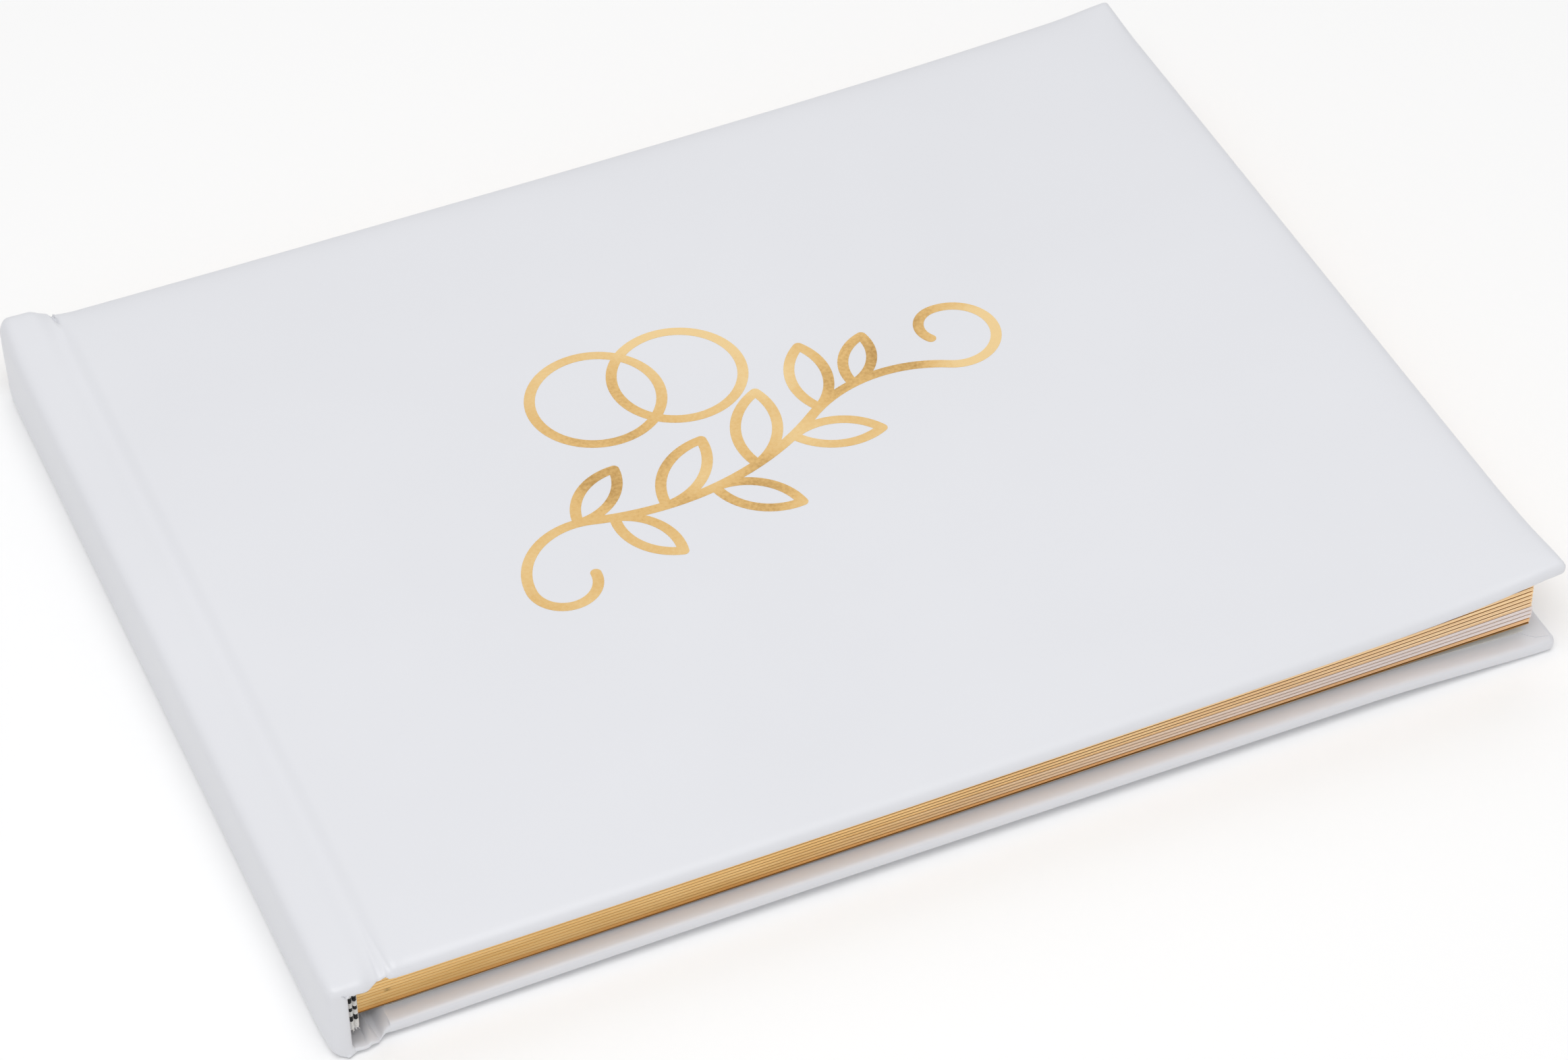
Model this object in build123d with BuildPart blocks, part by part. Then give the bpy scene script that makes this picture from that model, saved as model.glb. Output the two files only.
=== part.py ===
from build123d import *
import os

# A case-bound guest book in landscape format, lying closed on its back cover.
# X runs from the spine to the fore-edge, Y from the tail to the head, Z up.
# The origin is on the resting surface, under the middle of the closed book.

# ---------------------------------------------------------------- driving dimensions, mm
WIDTH = 228.6  # spine face to fore-edge of the covers
DEPTH = 177.8  # tail to head of the covers
THICKNESS = 17.0  # closed, at the spine
FLARE = 4.3  # how much higher the front cover stands at the fore-edge
FLAT_RUN = 95.0  # from the spine face to where the front cover starts to curve up

WRAP = 0.3  # covering paper on the covers
FOAM = 0.6  # soft pad between covering and board
BOARD = 2.0  # binder's board
TURN_IN = 0.2  # covering folded over the board's edges
TURN_IN_WIDTH = 15.0
PASTEDOWN = 0.2
COVER_CORNER = 2.0  # corner radius in plan

SPINE_EDGE = 2.5  # rounding of the spine's long edges, centred on the hinge lines
SPINE_WRAP = 0.4
SPINE_BOARD = 1.6
SPINE_LIP = 128.0  # degrees of arc that the spine covering makes round each edge

STRIP_START = 4.3  # joint covering, from here to the covers
STRIP_END = 12.0
STRIP = 0.5
GROOVE_X = 9.8  # joint groove
GROOVE_DEPTH = 1.2
GROOVE_LEAD = (6.8, 0.15)  # where the strip starts to dip, and its depth there

SQUARE = 3.4  # how far the covers stand out past the leaves at head and tail
FORE_SQUARE = 4.0
PLAY = 0.2  # free height between leaves and covers
FLYLEAF = 0.25
SECTIONS = 12
LEAF_GAP = 0.12
LEAF_START = 8.3  # leaves turn from here
FOLD_START = 4.2  # backs of the folded sections
FOLD_END = 8.0
FOLD_ROUNDING = 0.2

MULL = 0.25
LINER = 0.2
THREAD = 0.25
THREAD_WIDTH = 0.8
THREAD_STATIONS = 6
THREAD_SPACING = 26.0
MULL_LENGTH = 142.0
BAND_BEAD = (1.6, 2.0)  # headband bead, along X and Y
BAND_ROUNDING = 0.6
BAND_TAPE_LENGTH = 11.0

FOIL = 0.1
STROKE = 2.0  # width of every foil line
ORNAMENT_CENTRE = (120.0, 2.0)  # past the spine face, and from the middle of the depth
VINE_START = (-44.0, -20.0)  # inner end of the curl at the tail
VINE_BENDS = ((6, 180, -1), (13, 105, -1), (54, 52, 1), (26, 66, -1), (8, 215, 1), (4.5, 120, 1))
VINE_LEAVES = ((0.25, 1, 15), (0.29, -1, 15), (0.35, 1, 18), (0.41, -1, 16), (0.47, 1, 19),
               (0.53, -1, 16), (0.585, 1, 17), (0.64, 1, 13))
LEAF_ANGLE = 48.0  # between a leaf and the vine
LEAF_BULGE = 0.2  # of a leaf's length, each side
RING_RADIUS = 12.0
RINGS = ((-27, 22), (-11, 22))

# ---------------------------------------------------------------- derived dimensions
SPINE_X = -WIDTH / 2
HALF_DEPTH = DEPTH / 2
COVER = WRAP + FOAM + BOARD + TURN_IN + PASTEDOWN
BLOCK_LOW = COVER + PLAY
BLOCK_HIGH = THICKNESS - COVER - PLAY
BLOCK_HALF_DEPTH = HALF_DEPTH - SQUARE
LEAF_END = WIDTH - FORE_SQUARE
SECTION = (BLOCK_HIGH - BLOCK_LOW - 2 * FLYLEAF - (SECTIONS + 1) * LEAF_GAP) / SECTIONS
BOARD_START = STRIP_END + WRAP
BOARD_END = WIDTH - WRAP
MULL_X = FOLD_START - THREAD - MULL
FLARE_RADIUS = ((WIDTH - FLAT_RUN) ** 2 + FLARE**2) / (2 * FLARE)

os.makedirs("parts", exist_ok=True)


def save(part, name):
    """Label one finished piece and write it as its own STEP file."""
    part.label = name
    export_step(part, f"parts/{name}.step")


# ---------------------------------------------------------------- shared shapes
def climb(x):
    """How far the front cover has curved up at x past the spine face."""
    return FLARE_RADIUS - (FLARE_RADIUS**2 - max(0, x - FLAT_RUN) ** 2) ** 0.5


def rising_line(x_start, x_end, height, share):
    """One side of a layer: level, then an arc that climbs by a share of the cover's climb."""
    start = (SPINE_X + x_start, height)
    end = (SPINE_X + x_end, height + share * climb(x_end))
    if share == 0 or x_end <= FLAT_RUN:
        Line(start, end)
    else:
        bend = (SPINE_X + FLAT_RUN, height)
        Line(start, bend)
        TangentArc(bend, end, tangent=(1, 0))


def layer(x_start, x_end, low, high, half_depth, shares=(0, 0)):
    """A sheet seen from the tail, from x_start to x_end past the spine face."""
    with BuildSketch(Plane.XZ) as profile:
        with BuildLine():
            rising_line(x_start, x_end, low, shares[0])
            rising_line(x_start, x_end, high, shares[1])
            for x in (x_start, x_end):
                Line((SPINE_X + x, low + shares[0] * climb(x)),
                     (SPINE_X + x, high + shares[1] * climb(x)))
        make_face()
    extrude(profile.sketch, amount=half_depth, both=True)


def height(cover, depth):
    """Height of a point that lies at a depth under a cover's outside, near the spine."""
    return depth if cover == "back" else THICKNESS - depth


def cover_layer(cover, x_start, x_end, outer, inner, half_depth):
    """A layer of the back cover, which is flat, or of the front cover, which curves up."""
    share = 1 if cover == "front" else 0
    low, high = sorted((height(cover, outer), height(cover, inner)))
    layer(x_start, x_end, low, high, half_depth, (share, share))


def round_fore_corners(part, radius):
    """Round the two plan corners at the fore-edge."""
    fillet(part.edges().filter_by(Axis.Z).group_by(Axis.X)[-1], radius)


def share_at(level):
    """Share of the front cover's climb that the leaves at this level take."""
    return (level - BLOCK_LOW) / (BLOCK_HIGH - BLOCK_LOW)


# ---------------------------------------------------------------- the two covers
def make_board(cover):
    with BuildPart() as board:
        cover_layer(cover, BOARD_START, BOARD_END, WRAP + FOAM, WRAP + FOAM + BOARD,
                    HALF_DEPTH - WRAP)
        round_fore_corners(board, COVER_CORNER - WRAP)
    save(board.part, f"{cover}_board")


def make_foam_pad(cover):
    with BuildPart() as pad:
        cover_layer(cover, STRIP_END, BOARD_END, WRAP, WRAP + FOAM, HALF_DEPTH - WRAP)
        round_fore_corners(pad, COVER_CORNER - WRAP)
    save(pad.part, f"{cover}_foam_pad")


def make_cover_wrap(cover):
    """Covering of one cover: the outer face and a wall round three edges."""
    inner = WRAP + FOAM + BOARD
    with BuildPart() as wrap:
        cover_layer(cover, STRIP_END, WIDTH, 0, inner, HALF_DEPTH)
        round_fore_corners(wrap, COVER_CORNER)
        with BuildPart(mode=Mode.PRIVATE) as filling:
            cover_layer(cover, STRIP_END, BOARD_END, WRAP, inner, HALF_DEPTH - WRAP)
            round_fore_corners(filling, COVER_CORNER - WRAP)
        add(filling.part, mode=Mode.SUBTRACT)
    save(wrap.part, f"{cover}_cover_wrap")


def make_turn_ins(cover):
    """Three strips of covering folded inside the cover, mitred at the fore-edge corners."""
    inner = WRAP + FOAM + BOARD
    low, high = SPINE_X + STRIP_END, SPINE_X + WIDTH
    corner = TURN_IN_WIDTH
    head = [(low, HALF_DEPTH), (high, HALF_DEPTH), (high - corner, HALF_DEPTH - corner),
            (low, HALF_DEPTH - corner)]
    tail = [(x, -y) for x, y in head]
    fore = [(high, HALF_DEPTH), (high, -HALF_DEPTH), (high - corner, -HALF_DEPTH + corner),
            (high - corner, HALF_DEPTH - corner)]
    for name, outline in (("head", head), ("tail", tail), ("fore_edge", fore)):
        with BuildPart() as strip:
            cover_layer(cover, STRIP_END, WIDTH, inner, inner + TURN_IN, HALF_DEPTH)
            round_fore_corners(strip, COVER_CORNER)
            with BuildSketch() as plan:
                with BuildLine():
                    Polyline(*outline, close=True)
                make_face()
            extrude(plan.sketch, amount=2 * THICKNESS, mode=Mode.INTERSECT)
        save(strip.part, f"{cover}_turn_in_{name}")


def make_pastedown(cover):
    """Endpaper glued inside the cover: over the turn-ins and down onto the bare board."""
    inner = WRAP + FOAM + BOARD
    with BuildPart() as pastedown:
        cover_layer(cover, BOARD_START, LEAF_END, inner + TURN_IN, inner + TURN_IN + PASTEDOWN,
                    BLOCK_HALF_DEPTH)
        cover_layer(cover, BOARD_START, WIDTH - TURN_IN_WIDTH, inner, inner + TURN_IN,
                    HALF_DEPTH - TURN_IN_WIDTH)
    save(pastedown.part, f"{cover}_pastedown")


def make_joint_wrap(cover):
    """Covering between spine and cover, pressed in along the joint groove."""
    groove = [(STRIP_START, 0), GROOVE_LEAD, (GROOVE_X, GROOVE_DEPTH), (STRIP_END, 0)]
    outside = [(SPINE_X + x, height(cover, depth)) for x, depth in groove]
    inside = [(SPINE_X + x, height(cover, depth + STRIP)) for x, depth in groove]
    with BuildPart() as strip:
        with BuildSketch(Plane.XZ):
            with BuildLine():
                Spline(*outside, tangents=[(1, 0), (1, 0)])
                Spline(*inside, tangents=[(1, 0), (1, 0)])
                Line(outside[0], inside[0])
                Line(outside[-1], inside[-1])
            make_face()
        extrude(amount=HALF_DEPTH, both=True)
    save(strip.part, f"{cover}_joint_wrap")


for side in ("back", "front"):
    make_board(side)
    make_foam_pad(side)
    make_cover_wrap(side)
    make_turn_ins(side)
    make_pastedown(side)
    make_joint_wrap(side)


# ---------------------------------------------------------------- the spine of the case
hinge_low = (SPINE_X + SPINE_EDGE, SPINE_EDGE)
hinge_high = (SPINE_X + SPINE_EDGE, THICKNESS - SPINE_EDGE)

with BuildPart() as spine_wrap:
    with BuildSketch(Plane.XZ):
        with BuildLine():
            for inset in (0, SPINE_WRAP):
                radius = SPINE_EDGE - inset
                CenterArc(hinge_high, radius, 180 - SPINE_LIP, SPINE_LIP)
                Line((SPINE_X + inset, hinge_high[1]), (SPINE_X + inset, hinge_low[1]))
                CenterArc(hinge_low, radius, 180, SPINE_LIP)
            for centre, angle in ((hinge_high, 180 - SPINE_LIP), (hinge_low, 180 + SPINE_LIP)):
                PolarLine((Vector(*centre) + Vector(SPINE_EDGE - SPINE_WRAP, 0).rotate(
                    Axis.Z, angle)), SPINE_WRAP, angle)
        make_face()
    extrude(amount=HALF_DEPTH, both=True)
save(spine_wrap.part, "spine_wrap")

with BuildPart() as spine_board:
    with Locations((SPINE_X + SPINE_WRAP, 0, THICKNESS / 2)):
        Box(SPINE_BOARD, DEPTH - 2 * WRAP, THICKNESS - 2 * SPINE_EDGE,
            align=(Align.MIN, Align.CENTER, Align.CENTER))
save(spine_board.part, "spine_board")

for end, side in (("head", 1), ("tail", -1)):
    with BuildPart() as spine_turn_in:
        with BuildSketch(Plane.XY.offset(SPINE_EDGE)):
            with BuildLine():
                outer_y = side * HALF_DEPTH
                Polyline(
                    (SPINE_X + SPINE_WRAP, outer_y),
                    (SPINE_X + SPINE_WRAP + SPINE_BOARD + TURN_IN, outer_y),
                    (SPINE_X + SPINE_WRAP + SPINE_BOARD + TURN_IN, outer_y - side * TURN_IN_WIDTH),
                    (SPINE_X + SPINE_WRAP + SPINE_BOARD, outer_y - side * TURN_IN_WIDTH),
                    (SPINE_X + SPINE_WRAP + SPINE_BOARD, outer_y - side * WRAP),
                    (SPINE_X + SPINE_WRAP, outer_y - side * WRAP),
                    close=True,
                )
            make_face()
        extrude(amount=THICKNESS - 2 * SPINE_EDGE)
    save(spine_turn_in.part, f"spine_turn_in_{end}")


# ---------------------------------------------------------------- the book block
def make_leaves(name, low, high):
    """A stack of leaves, fanning up towards the fore-edge under the curved front cover."""
    with BuildPart() as leaves:
        layer(LEAF_START, LEAF_END, low, high, BLOCK_HALF_DEPTH, (share_at(low), share_at(high)))
    save(leaves.part, name)


def make_fold(name, low, high):
    """The sewn back of one folded section, rounded where the sheets turn."""
    with BuildPart() as fold:
        layer(FOLD_START, FOLD_END, low, high, BLOCK_HALF_DEPTH)
        fillet(fold.edges().filter_by(Axis.Y).group_by(Axis.X)[0], FOLD_ROUNDING)
    save(fold.part, name)


make_leaves("back_flyleaf", BLOCK_LOW, BLOCK_LOW + FLYLEAF)
make_leaves("front_flyleaf", BLOCK_HIGH - FLYLEAF, BLOCK_HIGH)
for number in range(1, SECTIONS + 1):
    # section 1 lies under the front cover, the last one on the back cover
    section_low = BLOCK_LOW + FLYLEAF + LEAF_GAP + (SECTIONS - number) * (SECTION + LEAF_GAP)
    make_leaves(f"section_{number}_leaves", section_low, section_low + SECTION)
    make_fold(f"section_{number}_fold", section_low, section_low + SECTION)

with BuildPart() as sewing_threads:
    with GridLocations(1, THREAD_SPACING, 1, THREAD_STATIONS):
        with Locations((SPINE_X + FOLD_START, 0, THICKNESS / 2)):
            Box(THREAD, THREAD_WIDTH, BLOCK_HIGH - BLOCK_LOW - 2 * FLYLEAF,
                align=(Align.MAX, Align.CENTER, Align.CENTER))
save(sewing_threads.part, "sewing_threads")

with BuildPart() as mull:
    with Locations((SPINE_X + MULL_X, 0, THICKNESS / 2)):
        Box(MULL, MULL_LENGTH, BLOCK_HIGH - BLOCK_LOW,
            align=(Align.MIN, Align.CENTER, Align.CENTER))
save(mull.part, "mull")

with BuildPart() as spine_liner:
    with Locations((SPINE_X + MULL_X, 0, THICKNESS / 2)):
        Box(LINER, 2 * BLOCK_HALF_DEPTH, BLOCK_HIGH - BLOCK_LOW,
            align=(Align.MAX, Align.CENTER, Align.CENTER))
save(spine_liner.part, "spine_liner")

for end, side in (("head", 1), ("tail", -1)):
    with BuildPart() as headband:
        with BuildSketch(Plane.XY.offset(BLOCK_LOW)):
            with Locations((SPINE_X + FOLD_START, side * BLOCK_HALF_DEPTH)):
                RectangleRounded(*BAND_BEAD, BAND_ROUNDING, align=(
                    Align.MIN, Align.MIN if side > 0 else Align.MAX))
            with Locations((SPINE_X + FOLD_START, side * (BLOCK_HALF_DEPTH + BAND_BEAD[1] / 2))):
                Rectangle(THREAD, BAND_TAPE_LENGTH, align=(
                    Align.MAX, Align.MAX if side > 0 else Align.MIN))
        extrude(amount=BLOCK_HIGH - BLOCK_LOW)
    save(headband.part, f"{end}_headband")


# ---------------------------------------------------------------- the foil decoration
def vine_arcs():
    """The stem: arcs run one into the next, each (radius, degrees, +1 left or -1 right)."""
    arcs = []
    point, heading = Vector(*VINE_START), Vector(0, -1)
    for radius, degrees, turn in VINE_BENDS:
        arcs.append(JernArc(point, heading, radius, turn * degrees, mode=Mode.PRIVATE))
        point, heading = arcs[-1] @ 1, arcs[-1] % 1
    return Wire(arcs)


def leaf_face(base, direction, length):
    """A pointed leaf drawn as an outline of one stroke."""
    tip = base + direction * length
    bulge = length * LEAF_BULGE
    with BuildSketch() as leaf:
        with BuildLine():
            SagittaArc(base, tip, bulge)
            SagittaArc(tip, base, bulge)
        make_face()
        offset(amount=STROKE / 2)
        offset(amount=-STROKE, kind=Kind.INTERSECTION, mode=Mode.SUBTRACT)
    return leaf.sketch


def ring_face(x, y):
    """A ring of one stroke."""
    with BuildSketch() as ring:
        with Locations((x, y)):
            Circle(RING_RADIUS + STROKE / 2)
            Circle(RING_RADIUS - STROKE / 2, mode=Mode.SUBTRACT)
    return ring.sketch


vine = vine_arcs()
with BuildSketch(mode=Mode.PRIVATE) as ornament:
    trace(vine, line_width=STROKE)
    with Locations(vine @ 0, vine @ 1):
        Circle(STROKE / 2)
    for place, leaf_side, leaf_length in VINE_LEAVES:
        leaf_direction = (vine % place).rotate(Axis.Z, leaf_side * LEAF_ANGLE)
        add(leaf_face(vine @ place, leaf_direction, leaf_length))
    for ring_x, ring_y in RINGS:
        add(ring_face(ring_x, ring_y))

with BuildPart() as foil_ornament:
    cover_layer("front", STRIP_END, WIDTH, -FOIL, 0, HALF_DEPTH)
    ornament_x = SPINE_X + ORNAMENT_CENTRE[0]
    extrude(ornament.sketch.moved(Location((ornament_x, ORNAMENT_CENTRE[1], 0))),
            amount=2 * THICKNESS, mode=Mode.INTERSECT)
save(foil_ornament.part, "foil_ornament")
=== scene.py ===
"""Looks of a padded white guest book with gilt-edged leaves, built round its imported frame."""

import math
import random

import bmesh
import bpy
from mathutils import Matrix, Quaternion, Vector


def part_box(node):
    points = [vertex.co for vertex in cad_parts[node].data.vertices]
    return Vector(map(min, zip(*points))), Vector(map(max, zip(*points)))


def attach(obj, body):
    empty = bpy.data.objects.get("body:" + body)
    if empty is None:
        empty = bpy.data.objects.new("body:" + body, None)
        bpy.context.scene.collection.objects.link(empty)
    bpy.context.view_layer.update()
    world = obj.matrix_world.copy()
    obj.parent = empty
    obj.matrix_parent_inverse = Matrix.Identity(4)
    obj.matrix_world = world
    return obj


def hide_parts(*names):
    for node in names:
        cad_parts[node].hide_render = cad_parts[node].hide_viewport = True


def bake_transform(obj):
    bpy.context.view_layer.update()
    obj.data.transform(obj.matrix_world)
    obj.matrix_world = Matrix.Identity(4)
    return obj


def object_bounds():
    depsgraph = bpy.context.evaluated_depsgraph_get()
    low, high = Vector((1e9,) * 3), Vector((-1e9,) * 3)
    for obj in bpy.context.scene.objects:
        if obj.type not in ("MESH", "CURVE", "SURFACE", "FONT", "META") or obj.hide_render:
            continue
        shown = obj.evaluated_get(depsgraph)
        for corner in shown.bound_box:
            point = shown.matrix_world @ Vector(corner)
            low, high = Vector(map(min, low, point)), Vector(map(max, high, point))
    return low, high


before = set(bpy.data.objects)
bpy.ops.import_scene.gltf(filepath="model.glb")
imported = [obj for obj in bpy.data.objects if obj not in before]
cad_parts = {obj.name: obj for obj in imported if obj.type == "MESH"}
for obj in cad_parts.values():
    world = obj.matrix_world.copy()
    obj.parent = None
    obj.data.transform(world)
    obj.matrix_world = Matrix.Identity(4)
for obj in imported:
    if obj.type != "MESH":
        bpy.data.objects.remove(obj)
cad_low, cad_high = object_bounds()

# ------------------------------------------------------------------ sizes, mm
# x runs from the spine face, y from the tail edge, z from the resting surface.
MM = 0.001
WIDTH = (cad_high.x - cad_low.x) / MM
DEPTH = (cad_high.y - cad_low.y) / MM
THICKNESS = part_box("spine_wrap")[1].z / MM
FLARE = cad_high.z / MM - THICKNESS
FLAT_RUN = 95.0  # from the spine face to where the front cover starts to curve up
FLARE_RADIUS = ((WIDTH - FLAT_RUN) ** 2 + FLARE**2) / (2 * FLARE)
CORNER_LIFT = 1.0  # of the front cover's tail and fore-edge corner
STAND_OUT = 1.2  # how far the spine and the joints stand out past the covers at each end

ROUND = 2.5  # rounding of the spine's long edges
COVER = 3.1  # covering, foam, board and turn-in together
COVER_START = 12.0  # the covers' stiff part starts here, past the joints
GROOVE_X = 9.9  # middle of the joint groove
GROOVE_DEPTH = 0.5
SHEET = 0.25  # thickness of the covering
RIM = 16.0  # width of the dense rim round a cover
CORNERS = {1: 0.8, -1: 1.3}  # plan radius of the front and the back cover's corners
SEAM = 5.0  # the three coverings meet this far down the flat spine face
SQUARENESS = {1: 0.7, -1: 1.0}  # the front edge of the spine is crisper than the back one
ARC = ROUND * math.pi / 2  # length of the covering round one of the spine's edges
PLAIN_ROWS = 24  # rows of faces between the rims at the head and the tail

LEAF_START = 4.2  # the back of the block
LEAF_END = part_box("section_1_leaves")[1].x / MM - cad_low.x / MM
LEAF_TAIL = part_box("section_1_leaves")[0].y / MM - cad_low.y / MM
SECTIONS = 12
LEAVES_PER_SECTION = 4
GUTTER_START = 5.5  # leaves bend from here
GUTTER_END = 24.0

MERGE = 1e-6  # points nearer than this, in metres, are one
SMOOTH_ANGLE = 40  # degrees: edges sharper than this stay sharp

rng = random.Random(7)


def place(x, y, z):
    """A point in the row frame, in metres."""
    return (cad_low.x + x * MM, cad_low.y + y * MM, z * MM)


def smooth(t):
    """From 0 to 1 with no corner at either end."""
    t = min(1.0, max(0.0, t))
    return t * t * (3 - 2 * t)


def bell(x, centre, left, right):
    """A smooth hump, 1 at its centre and 0 from its two widths on."""
    u = (x - centre) / (right if x > centre else left)
    return 0.0 if abs(u) >= 1 else math.cos(u * math.pi / 2) ** 2


def climb(x):
    """How far the front cover curves up at x."""
    return FLARE_RADIUS - math.sqrt(FLARE_RADIUS**2 - max(0.0, x - FLAT_RUN) ** 2)


# ------------------------------------------------------------------ the case's outside
def front_height(x, y):
    """Outer face of the front cover and its joint above the closed thickness."""
    head = max(0.0, DEPTH - y)
    crown = 0.4 * bell(x, 125, 100, 75)
    sag = 0.45 * smooth((150 - y) / 120) * smooth((x - 150) / 70)
    lift = CORNER_LIFT * smooth((x - 203) / 25) * smooth((24 - y) / 24)
    headcap = 1.25 * smooth((11.0 - x) / 4.6) * math.exp(-((head / 8) ** 2))
    headcap -= 0.3 * bell(x, 10.75, 0.45, 0.9) * math.exp(-((head / 4) ** 2))
    run_out = 1 - 0.9 * math.exp(-((head / 6) ** 2))
    groove = GROOVE_DEPTH * run_out + 0.55 * math.exp(-max(0.0, y) / 3)
    groove *= bell(x, GROOVE_X, 4.0, 3.0)
    notch = 0.9 * bell(x, 10.2 + 0.17 * head, 0.35, 0.35) * smooth((4.5 - head) / 2.5)
    return climb(x) + crown - sag + lift + headcap - groove - notch - pucker(x, y)


def pucker(x, y):
    """Creases of the covering where the front joint runs out at the tail."""
    fade = smooth((13 - y) / 12)
    first = 0.20 * bell(x, 9.6 + 0.05 * y, 0.5, 0.4)
    second = 0.16 * bell(x, 11.4 - 0.06 * y, 0.4, 0.5)
    ridge = -0.22 * bell(x, 10.6, 0.5, 0.5) * smooth((4 - y) / 4)
    return fade * (first + second + ridge)


def back_lift(x):
    """How far the back cover stands off the table, rising from the joint to its middle."""
    arch = math.sin(math.pi / 2 * min(1.0, max(0.0, x - 12) / 85))
    return 0.35 * smooth((x - 8.8) / 1.2) + 0.95 * arch


def back_height(x, y):
    """Outer face of the back cover, measured down from the resting surface."""
    end = max(0.0, min(y, DEPTH - y))
    fall = 1.4 * smooth((x - 192) / 36)
    groove = 0.9 * bell(x, GROOVE_X, 3.5, 2.5) * (1 - math.exp(-end / 6))
    crumple = 0.35 * bell(x, 9.7, 0.9, 0.9) * math.exp(-end / 4)
    crumple += 0.34 * bell(x, 7.1 + 0.12 * end, 0.7, 0.8) * math.exp(-((end / 3.5) ** 2))
    crumple -= 0.30 * bell(x, 8.45 - 0.06 * end, 0.7, 0.6) * math.exp(-((end / 3.0) ** 2))
    return fall - back_lift(x) - groove - crumple


def stand_out(t, inset):
    """How far the end of the spine and joint stands out, fading away from the end."""
    return STAND_OUT * smooth((10.2 - ROUND - t) / 4.2) * (1 - inset / RIM)


def head_share(z):
    """The headcap stands out less towards the back."""
    return 0.3 + 0.7 * smooth((z - SEAM) / 7)


def flap_tilt(u):
    """At the back the end face spreads into a flap before it turns into the joint."""
    return math.radians(14 * u * u + 66 * smooth((u - 0.8) / 0.25))


def case_point(side, t, y, depth):
    """A point at a depth under the covering. t is 0 where the top of the spine's rounding ends."""
    height = front_height if side > 0 else back_height
    if t < -ARC:
        x, z, nx, nz = 0.0, -ROUND + t + ARC, -1.0, 0.0
    elif t < 0:
        a = math.pi / 2 - t / ROUND
        across, along = max(0.0, -math.cos(a)), max(0.0, math.sin(a))
        power = SQUARENESS[side]
        x, z = ROUND - ROUND * across**power, ROUND * along**power - ROUND
        nx, nz = -(across ** (2 - power)), along ** (2 - power)
        tilt = flap_tilt(1 + t / ARC) if side < 0 else math.radians(62 * (1 + t / ARC))
        nx, nz = -math.cos(tilt), math.sin(tilt)
        z += height(ROUND, y) * smooth(1 + t / ARC)
    else:
        x = ROUND + t
        z = height(x, y)
        slope = (height(x + 0.05, y) - height(max(ROUND, x - 0.05), y)) / 0.1
        slope *= 0.3 * smooth((COVER_START + 3 - x) / 2)
        if side > 0:
            slope += math.tan(math.radians(28)) * (1 - smooth(t / 3))
        nx, nz = -slope / math.hypot(1, slope), 1 / math.hypot(1, slope)
    base = THICKNESS if side > 0 else 0.0
    return x - nx * depth, y, base + side * (z - nz * depth)


def stations():
    """Places along the covering from the spine face to the fore-edge rim, dense at the joint."""
    flat = [-ARC - SEAM + ROUND, -ARC - 1.2, -ARC]
    arc = [-ARC * (1 - i / 8) for i in range(1, 9)]
    joint = [0.5 * i for i in range(1, 12)]
    crease = [5.5 + 0.25 * i for i in range(1, 26)]
    cover = [12.5 + 1.5 * i for i in range(4)]
    last = WIDTH - RIM - ROUND
    far = [17.0 + (last - 17.0) * i / 40 for i in range(1, 41)]
    return flat + arc + joint + crease + cover + far


def thickness_at(t, side):
    """Depth of the turned-in edge, and of the turn-in behind it, along the covering."""
    x = ROUND + t
    lip, swell, board_edge = (2.7, 0.25, 10.2) if side > 0 else (1.5, 0, 9.2)
    if t < 0:
        u = 1 + t / ARC
        if side > 0:
            edge = END_FACE + 0.3 * bell(u, 0.5, 0.5, 0.5) - 0.84 * smooth((u - 0.5) / 0.5)
        else:
            edge = END_FACE + 0.25 * bell(u, 0.4, 0.3, 0.3) - 2.8 * smooth((u - 0.45) / 0.55)
        return edge, 2.6 - 1.8 * u
    edge = lip + swell * smooth((x - 4.5) / 2.5)
    if side > 0:
        edge += 0.36 * (1 - smooth(t / 3))
    edge += (1.0 - edge) * smooth((x - 7.4) / 2.2)
    v = smooth((x - board_edge) / (2.0 if side > 0 else 1.3))
    return edge + (COVER - edge) * v, 0.8 + (COVER - 0.8) * v


# inset from the edge, share of the padding's drop, share of the edge depth, share of turn-in
EDGE = [
    (RIM, 0, 0, 0), (12.5, 0, 0, 0), (9.5, 0.01, 0, 0), (7.4, 0.05, 0, 0), (5.6, 0.13, 0, 0),
    (4.1, 0.27, 0, 0), (2.9, 0.45, 0, 0), (1.9, 0.66, 0, 0), (1.15, 0.86, 0.02, 0),
    (0.6, 1, 0.08, 0), (0.25, 1, 0.19, 0), (0.05, 1, 0.33, 0), (0, 0.95, 0.50, 0),
    (0.02, 0.75, 0.68, 0), (0.12, 0.45, 0.84, 0), (0.4, 0.15, 0.95, 0), (0.9, 0, 1, 0),
    (1.7, 0, 1, 0.3), (3.0, 0, 1, 1), (5.5, 0, 1, 1), (9, 0, 1, 1), (15, 0, 1, 1),
]
DROP_COVER = {1: 0.95, -1: 0.3}  # how far the padding falls away at a cover's rim
DROP_SPINE = 0.45  # the same at the spine
END_FACE = 3.9  # width of the spine's end face


def edge_depth(row, t, side, crisp=0.0):
    """Depth under the covering's outer face. crisp, from 0 to 1, takes the padding's drop away."""
    inset, drop_share, edge_share, inner_share = row
    edge, inner = thickness_at(t, side)
    drop = DROP_SPINE + (DROP_COVER[side] - DROP_SPINE) * smooth((t - 6.4) / 6)
    drop *= 1 - crisp
    outer = drop_share * drop + edge_share * edge
    if side < 0:
        inner += 0.9 * bell(ROUND + t, 7.4, 0.9, 0.8) * smooth((inset - 0.8) / 2)
    return outer + (inner - outer) * inner_share


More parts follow.
